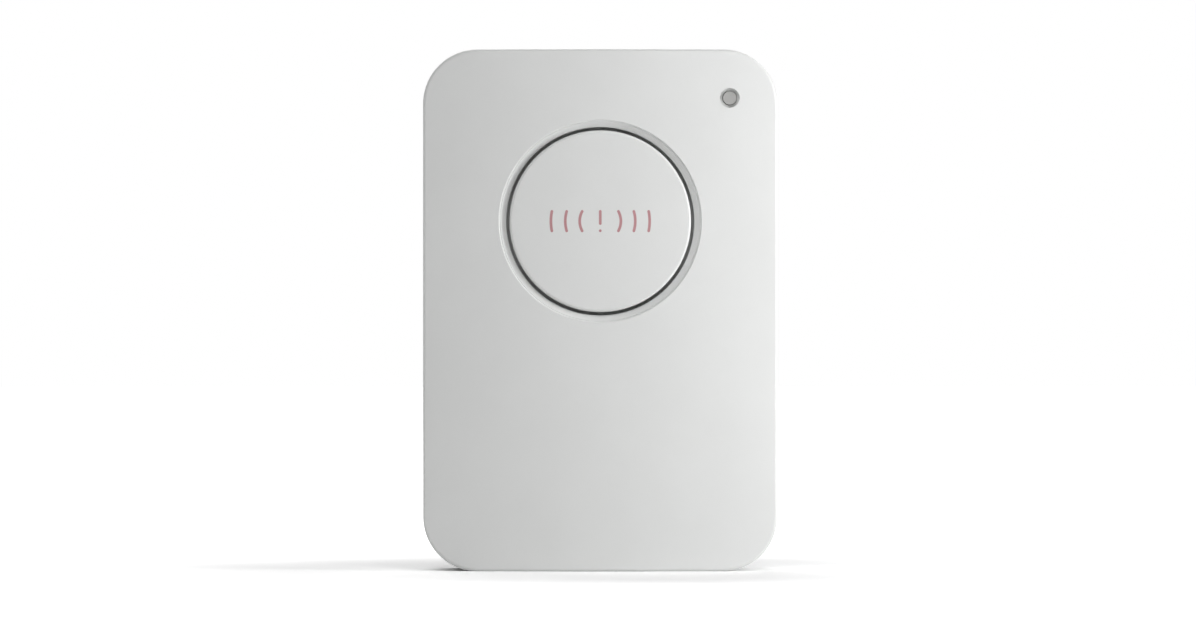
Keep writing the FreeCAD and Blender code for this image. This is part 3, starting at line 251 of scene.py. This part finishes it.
def alarm_sign(tree, place, shade):
    """Ink wherever a point of the face is within half a stroke of the sign's nearest line.

    A wave is an arc about the cap's centre. Its nearest point lies at the point's own angle, but
    never past the arc's end: (radius cos angle, radius sin angle). The bar's nearest point is the
    point's own height, kept between the bar's ends.
    """
    local = add(tree, "Mapping", Vector=place, Scale=(1 / MM,) * 3,
                Location=(-CAP_CENTRE[0], 0, -CAP_CENTRE[1]))
    x, y, z = add(tree, "SeparateXYZ", _0=local.outputs[0]).outputs
    aside = add(tree, "Math", {"operation": "ABSOLUTE"}, _0=x).outputs[0]
    up = add(tree, "Math", {"operation": "ABSOLUTE"}, _0=z).outputs[0]
    folded = add(tree, "CombineXYZ", _0=aside, _1=up).outputs[0]
    upright = add(tree, "CombineXYZ", _0=aside, _1=z).outputs[0]
    height = add(tree, "Clamp", Value=z, Min=BAR_MM[0], Max=BAR_MM[1]).outputs[0]
    bar = add(tree, "CombineXYZ", _1=height).outputs[0]
    lines = [(upright, bar), (upright, (0, DOT_MM, 0))]
    angle = add(tree, "Math", {"operation": "ARCTAN2"}, _0=up, _1=aside).outputs[0]
    for radius in WAVE_RADII_MM:
        near = add(tree, "Math", {"operation": "MINIMUM"},
                   _0=angle, _1=np.arcsin(SIGN_HALF_MM / radius)).outputs[0]
        across = add(tree, "Math", {"operation": "COSINE"}, _0=near).outputs[0]
        along = add(tree, "Math", {"operation": "SINE"}, _0=near).outputs[0]
        unit = add(tree, "CombineXYZ", _0=across, _1=along).outputs[0]
        wave = add(tree, "VectorMath", {"operation": "SCALE"}, _0=unit, _3=radius).outputs[0]
        lines.append((folded, wave))
    gaps = [add(tree, "VectorMath", {"operation": "DISTANCE"}, _0=here, _1=line).outputs["Value"]
            for here, line in lines]
    reach = gaps[0]
    for gap in gaps[1:]:
        reach = add(tree, "Math", {"operation": "MINIMUM"}, _0=reach, _1=gap).outputs[0]
    half = STROKE_MM / 2
    inked = add(tree, "MapRange", _0=reach, _1=half - INK_EDGE_MM, _2=half + INK_EDGE_MM,
                _3=1.0, _4=0.0)
    facing = add(tree, "Math", {"operation": "LESS_THAN"},
                 _0=y, _1=body_low[1] / MM + PRINT_DEPTH_MM)
    cover = add(tree, "Math", {"operation": "MULTIPLY"}, _0=inked.outputs[0], _1=facing.outputs[0])
    return add(tree, "Mix", COLOUR_MIX, _0=cover.outputs[0], _6=shade, _7=linear(INK)).outputs[2]


printed_abs = moulded("printed_white_abs", **ABS_LOOK, paint=alarm_sign)
finish(printed_abs, "panic_button")

# Return spring.
# A coil of spring steel between the cap and the board, its end turns closed so that it sits flat.
# The real one shortens when the cap goes in; this one keeps one length. The wire is hard-drawn,
# which leaves a grey, soft shine.
SPRING_RADIUS_MM, WIRE_MM, SPRING_TURNS = 6.6, 0.5, 5.5
CLOSED_TURNS, OPENING_TURNS = 0.75, 0.5
SPRING_FRONT_MM, SPRING_BACK_MM = -7.45, -0.05
STEPS_PER_TURN, WIRE_SIDES = 48, 12
METAL_GLOSS = 0.07


def tube_faces(rows, sides):
    """Quads round a tube stored ring by ring, and fans that close it to the two last points."""
    r, s = np.meshgrid(np.arange(rows - 1), np.arange(sides), indexing="ij")
    here, beside = r * sides + s, r * sides + (s + 1) % sides
    walls = np.stack([here, beside, beside + sides, here + sides], axis=-1).reshape(-1, 4)
    ring, after, last = np.arange(sides), (np.arange(sides) + 1) % sides, (rows - 1) * sides
    first_end = np.stack([after, ring, np.full(sides, rows * sides)], axis=-1)
    last_end = np.stack([last + ring, last + after, np.full(sides, rows * sides + 1)], axis=-1)
    return [*walls.tolist(), *first_end.tolist(), *last_end.tolist()]


def coil():
    """Points of a wire wound round the cap's axis, and how many rings they make.

    The wire's middle is at (radius cos a, y, radius sin a) for an angle a that grows evenly. Its
    pitch is the wire's own thickness at both ends, eases to the open pitch between them, and adds
    up to y. Round the middle goes a circle across the wire's direction.
    """
    turn = np.linspace(0, SPRING_TURNS, int(SPRING_TURNS * STEPS_PER_TURN) + 1)
    from_end = np.minimum(turn, SPRING_TURNS - turn)
    ease = np.clip((from_end - CLOSED_TURNS) / OPENING_TURNS, 0, 1)
    ease = ease ** 2 * (3 - 2 * ease)
    length = SPRING_BACK_MM - SPRING_FRONT_MM - WIRE_MM
    closed = WIRE_MM * turn
    share = np.cumsum(ease) - ease[0]
    y = SPRING_FRONT_MM + WIRE_MM / 2 + closed + (length - closed[-1]) * share / share[-1]
    angle = 2 * np.pi * turn
    outward = np.stack([np.cos(angle), np.zeros_like(angle), np.sin(angle)], axis=1)
    line = SPRING_RADIUS_MM * outward + np.stack([np.zeros_like(y), y, np.zeros_like(y)], axis=1)
    along = np.gradient(line, axis=0)
    along /= np.linalg.norm(along, axis=1, keepdims=True)
    level = np.cross(along, outward)
    around = 2 * np.pi * np.arange(WIRE_SIDES) / WIRE_SIDES
    ring = np.cos(around)[:, None] * outward[:, None] + np.sin(around)[:, None] * level[:, None]
    skin = line[:, None] + WIRE_MM / 2 * ring
    points = np.concatenate([skin.reshape(-1, 3), line[:1], line[-1:]])
    return (points + (CAP_CENTRE[0], 0, CAP_CENTRE[1])) * MM, len(turn)


def metal(name, colour, streak, roughness, streak_mm, depth_mm=0.002):
    """Metal whose tint, gloss and height follow one noise, as long in mm as given on each axis.

    The marks of real drawing and rolling are finer than a pixel, so these are coarser.
    """
    material, tree = new_material(name)
    place = add(tree, "TexCoord").outputs["Object"]
    scaled = add(tree, "VectorMath", {"operation": "MULTIPLY"}, _0=place,
                 _1=[1 / (mm * MM) for mm in streak_mm])
    streaks = add(tree, "TexNoise", Vector=scaled.outputs[0], Scale=1.0, Detail=3.0).outputs[0]
    share = add(tree, "MapRange", _0=streaks, _1=NOISE_RANGE[0], _2=NOISE_RANGE[1]).outputs[0]
    shade = add(tree, "Mix", COLOUR_MIX, _0=share, _6=linear(colour), _7=linear(streak))
    gloss = add(tree, "MapRange", _0=share, _3=roughness - METAL_GLOSS, _4=roughness + METAL_GLOSS)
    bump = add(tree, "Bump", Strength=0.5, Distance=depth_mm * MM, Height=streaks)
    surface = add(tree, "BsdfPrincipled", Base_Color=shade.outputs[2], Metallic=1.0,
                  Roughness=gloss.outputs[0], Normal=bump.outputs[0])
    add(tree, "OutputMaterial", Surface=surface.outputs[0])
    return material


points, rings = coil()
spring = mesh_object("wound_spring", points, tube_faces(rings, WIRE_SIDES))
spring.data.materials.append(metal("drawn_spring_steel", "a9abad", "8f9296", roughness=0.32,
                                   streak_mm=(0.4, 0.15, 0.4)))
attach(spring, "housing")
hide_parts("return_spring")
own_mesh(spring)

# Indicator.
# A round light pipe of acrylic, moulded frosted so that it spreads the light. It is unlit and shows
# grey, a little below the face, in a wider hole.
finish(moulded("frosted_acrylic", "b4b4b2", "a9a9a7", ior=1.49, roughness=0.36), "light_pipe")

# Circuit board.
# Glass-epoxy laminate under green solder mask, routed to shape, so its cut edge shows the straw
# colour of the glass. Copper shows through the mask as a lighter green, in tracks and in areas.
MASK_GREEN, COPPER_GREEN = "1b5230", "286a3f"
GLASS_STRAW, GLASS_SHADE, GLASS_MM = "b7ab74", "a2955f", 0.3
MASK_ROUGHNESS, EDGE_ROUGHNESS, BOARD_IOR = 0.28, 0.75, 1.55
COPPER_MM = 0.03
AREA_MM, AREA_CHANCE = 9.0, 0.45
FLAT_NORMAL_Y = 0.7

# Tracks run across the board in rows. Every second row starts part of a run further on, and every
# third row has shorter runs.
TRACK_PITCH_MM, TRACK_MM, TRACK_RUN_MM = 0.7, 0.16, 17.0
TRACK_ROWS = {"offset": 0.37, "squash": 0.7, "squash_frequency": 3}

board_material, tree = new_material("solder_masked_board")
coordinates = add(tree, "TexCoord").outputs
upright = add(tree, "Mapping", Vector=coordinates["Object"], Rotation=(-np.pi / 2, 0, 0),
              Scale=(1 / MM,) * 3)
tracks = add(tree, "TexBrick", TRACK_ROWS, Vector=upright.outputs[0], Scale=1.0,
             Mortar_Size=TRACK_MM, Brick_Width=TRACK_RUN_MM, Row_Height=TRACK_PITCH_MM)
areas = add(tree, "TexVoronoi", {"distance": "MANHATTAN"}, Vector=upright.outputs[0],
            Scale=1 / AREA_MM)
chance = add(tree, "SeparateXYZ", _0=areas.outputs["Color"])
filled = add(tree, "Math", {"operation": "GREATER_THAN"}, _0=chance.outputs[0], _1=1 - AREA_CHANCE)
copper = add(tree, "Math", {"operation": "MAXIMUM"}, _0=tracks.outputs["Fac"],
             _1=filled.outputs[0]).outputs[0]
mask = add(tree, "Mix", COLOUR_MIX, _0=copper, _6=linear(MASK_GREEN), _7=linear(COPPER_GREEN))
normal = add(tree, "SeparateXYZ", _0=coordinates["Normal"]).outputs
square_on = add(tree, "Math", {"operation": "ABSOLUTE"}, _0=normal["Y"])
flat = add(tree, "Math", {"operation": "GREATER_THAN"}, _0=square_on.outputs[0],
           _1=FLAT_NORMAL_Y).outputs[0]
weave = add(tree, "TexNoise", Vector=coordinates["Object"], Scale=1 / (GLASS_MM * MM), Detail=2.0)
edge = add(tree, "Mix", COLOUR_MIX, _0=weave.outputs[0], _6=linear(GLASS_STRAW),
           _7=linear(GLASS_SHADE))
shade = add(tree, "Mix", COLOUR_MIX, _0=flat, _6=edge.outputs[2], _7=mask.outputs[2])
gloss = add(tree, "MapRange", _0=flat, _3=EDGE_ROUGHNESS, _4=MASK_ROUGHNESS)
height = add(tree, "Math", {"operation": "MULTIPLY"}, _0=copper, _1=flat)
bump = add(tree, "Bump", Strength=0.6, Distance=COPPER_MM * MM, Height=height.outputs[0])
laminate = add(tree, "BsdfPrincipled", Base_Color=shade.outputs[2], Roughness=gloss.outputs[0],
               IOR=BOARD_IOR, Normal=bump.outputs[0])
add(tree, "OutputMaterial", Surface=laminate.outputs[0])
finish(board_material, "circuit_board")

# Board screws.
# Pan-head thread-forming screws of steel, zinc-plated and passivated, which leaves a bright surface
# with a faint blue tint.
finish(metal("zinc_plated_steel", "c6cacf", "b4bcc9", roughness=0.3, streak_mm=(0.5, 0.5, 0.5)),
       "board_screws")

# Switch under the cap.
# A tactile switch: a glass-filled black nylon base and an acetal plunger, held together by a folded
# stainless frame over a snap dome, with tin-plated legs. In the real switch the dome gives way
# under the plunger; this one keeps its shape.
DOME_RADIUS_MM, DOME_SHEET_MM = 2.095, 0.12
DOME_TOP_MM, DOME_BACK_MM = -2.67, -2.13
DOME_RINGS, DOME_SIDES = 14, 72


def pressed_disc():
    """Points of the snap dome, and how many rings they make.

    Its height falls with the square of the distance from its middle. The rings run from the middle
    of the front out to the rim, and back to the middle behind it, a sheet's thickness further back.
    Each ring is (radius cos a, y, -radius sin a).
    """
    out = np.linspace(0, 1, DOME_RINGS + 1)
    front = DOME_TOP_MM + (DOME_BACK_MM - DOME_SHEET_MM - DOME_TOP_MM) * out ** 2
    radius = DOME_RADIUS_MM * np.concatenate([out[1:], out[:0:-1]])
    y = np.concatenate([front[1:], front[:0:-1] + DOME_SHEET_MM])
    angle = 2 * np.pi * np.arange(DOME_SIDES) / DOME_SIDES
    skin = np.stack(np.broadcast_arrays(radius[:, None] * np.cos(angle), y[:, None],
                                        -radius[:, None] * np.sin(angle)), axis=-1)
    middles = np.array([[0, DOME_TOP_MM, 0], [0, DOME_TOP_MM + DOME_SHEET_MM, 0]])
    points = np.concatenate([skin.reshape(-1, 3), middles])
    return (points + (CAP_CENTRE[0], 0, CAP_CENTRE[1])) * MM, len(radius)


# Rolled steel shines in fine lines, glass fibre leaves the nylon matt, acetal has a waxy sheen, and
# tin plate is pale with a soft shine.
rolled_stainless = metal("rolled_stainless", "aeada9", "9f9e9a", roughness=0.3,
                         streak_mm=(2.0, 0.2, 0.12), depth_mm=0.001)
points, rings = pressed_disc()
dome = mesh_object("snap_dome", points, tube_faces(rings, DOME_SIDES))
dome.data.materials.append(rolled_stainless)
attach(dome, "housing")
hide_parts("switch_dome")
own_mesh(dome)
finish(moulded("glass_filled_nylon", "1d1e20", "2a2b2d", ior=1.53, roughness=0.55), "switch_base")
finish(moulded("black_acetal", "202124", "191a1c", ior=1.48, roughness=0.36), "switch_plunger")
finish(rolled_stainless, "switch_frame")
finish(metal("tin_plate", "c9c8c4", "b2b1ac", roughness=0.38, streak_mm=(0.3, 0.3, 0.3)),
       "switch_terminals")

# Parts soldered to the board.
# Each is a moulded, fired or plated block: the tinned ends are bright metal and the rest is its
# body, matt but for the lamp's clear resin. Real solder joints would be smaller than a pixel.
TIN, TIN_ROUGHNESS = "c9c8c4", 0.35
SPECK_MM, SPECK_DEPTH_MM, SPECK_DARKEST = 0.12, 0.004, 0.88
LAMP_CASE = "efefec"

# body_mm and marks say between which places, in mm on an axis, the body and other colours lie.
CHIP_PARTS = {
    "chip_capacitors": dict(
        name="fired_ceramic", colour="b5986c", roughness=0.5, body_mm=("Z", 29.95, 31.05)),
    "chip_resistors": dict(
        name="thick_film_resistor", colour="dcdad2", roughness=0.4, body_mm=("Z", 17.95, 19.05),
        marks=[("Y", -9.0, -0.40, "26262a")]),
    "reservoir_capacitor": dict(
        name="moulded_tantalum", colour="dba136", roughness=0.42, body_mm=("X", -10.0, -7.0),
        marks=[("X", -9.75, -9.2, "8a4a1e")]),
    "radio_chip": dict(
        name="epoxy_package", colour="1f2022", roughness=0.5, body_mm=("Y", -1.0, -0.14)),
    "crystal": dict(
        name="ceramic_crystal_can", colour="6b675f", roughness=0.45, body_mm=("Y", -0.50, 0.5),
        ends="c2bda9"),
    "status_led": dict(
        name="phosphor_lamp", colour="e6cf57", roughness=0.3, body_mm=("Y", -0.90, -0.20),
        marks=[("Z", 60.0, 68.35, LAMP_CASE), ("Z", 69.85, 80.0, LAMP_CASE),
               ("X", 10.0, 18.15, LAMP_CASE), ("X", 19.65, 30.0, LAMP_CASE)]),
}


def soldered(name, colour, roughness, body_mm, ends=TIN, marks=()):
    """A chip part: its own colour between two places along an axis, and bare metal outside them."""
    material, tree = new_material(name)
    place = add(tree, "TexCoord").outputs["Object"]
    millimetres = add(tree, "VectorMath", {"operation": "SCALE"}, _0=place, _3=1 / MM)
    along = add(tree, "SeparateXYZ", _0=millimetres.outputs[0]).outputs

    def within(axis, low, high):
        past = add(tree, "Math", {"operation": "GREATER_THAN"}, _0=along[axis], _1=low)
        short = add(tree, "Math", {"operation": "LESS_THAN"}, _0=along[axis], _1=high)
        return add(tree, "Math", {"operation": "MULTIPLY"},
                   _0=past.outputs[0], _1=short.outputs[0]).outputs[0]

    speck = add(tree, "TexNoise", Vector=place, Scale=1 / (SPECK_MM * MM), Detail=2.0).outputs[0]
    tone = add(tree, "MapRange", _0=speck, _1=NOISE_RANGE[0], _2=NOISE_RANGE[1],
               _3=SPECK_DARKEST, _4=1.0)
    shade = add(tree, "Mix", {**COLOUR_MIX, "blend_type": "MULTIPLY"}, _0=1.0, _6=linear(colour),
                _7=tone.outputs[0]).outputs[2]
    for axis, low, high, mark in marks:
        shade = add(tree, "Mix", COLOUR_MIX, _0=within(axis, low, high), _6=shade,
                    _7=linear(mark)).outputs[2]
    inside = within(*body_mm)
    shade = add(tree, "Mix", COLOUR_MIX, _0=inside, _6=linear(ends), _7=shade).outputs[2]
    bare = add(tree, "Math", {"operation": "SUBTRACT"}, _0=1.0, _1=inside)
    gloss = add(tree, "MapRange", _0=inside, _3=TIN_ROUGHNESS, _4=roughness)
    bump = add(tree, "Bump", Strength=0.4, Distance=SPECK_DEPTH_MM * MM, Height=speck)
    block = add(tree, "BsdfPrincipled", Base_Color=shade, Metallic=bare.outputs[0],
                Roughness=gloss.outputs[0], Normal=bump.outputs[0])
    add(tree, "OutputMaterial", Surface=block.outputs[0])
    return material


for part, look in CHIP_PARTS.items():
    finish(soldered(**look), part)

# Antenna.
# A loop of hard copper wire, bent to two short legs and soldered in. Its clear enamel keeps the
# copper warm and glossy.
finish(metal("enamelled_copper", "b8714a", "a6603c", roughness=0.22, streak_mm=(6.0, 0.2, 0.2)),
       "antenna_wire")

# Coin cell and its contacts.
# The cell's can is nickel-plated steel, drawn and tumbled to an even shine. Each contact is a
# nickel-plated strip of spring steel, cut and bent, a little warmer and marked by its rolling.
finish(metal("nickel_plated_can", "c0bfb9", "b6b5ae", roughness=0.24,
             streak_mm=(0.35, 0.35, 0.35), depth_mm=0.0005), "coin_cell")
finish(metal("nickel_plated_strip", "b3b0a6", "a3a096", roughness=0.3,
             streak_mm=(3.0, 3.0, 0.15), depth_mm=0.001), "positive_contact", "negative_contact")

# Battery door and its seal.
# The door is moulded in the covers' ABS and turns in a bayonet with a coin. The seal is a ring of
# black rubber, matt from its mould.
finish(white_abs, "battery_door")
finish(moulded("moulded_rubber", "242426", "303033", ior=1.52, roughness=0.72), "door_seal")
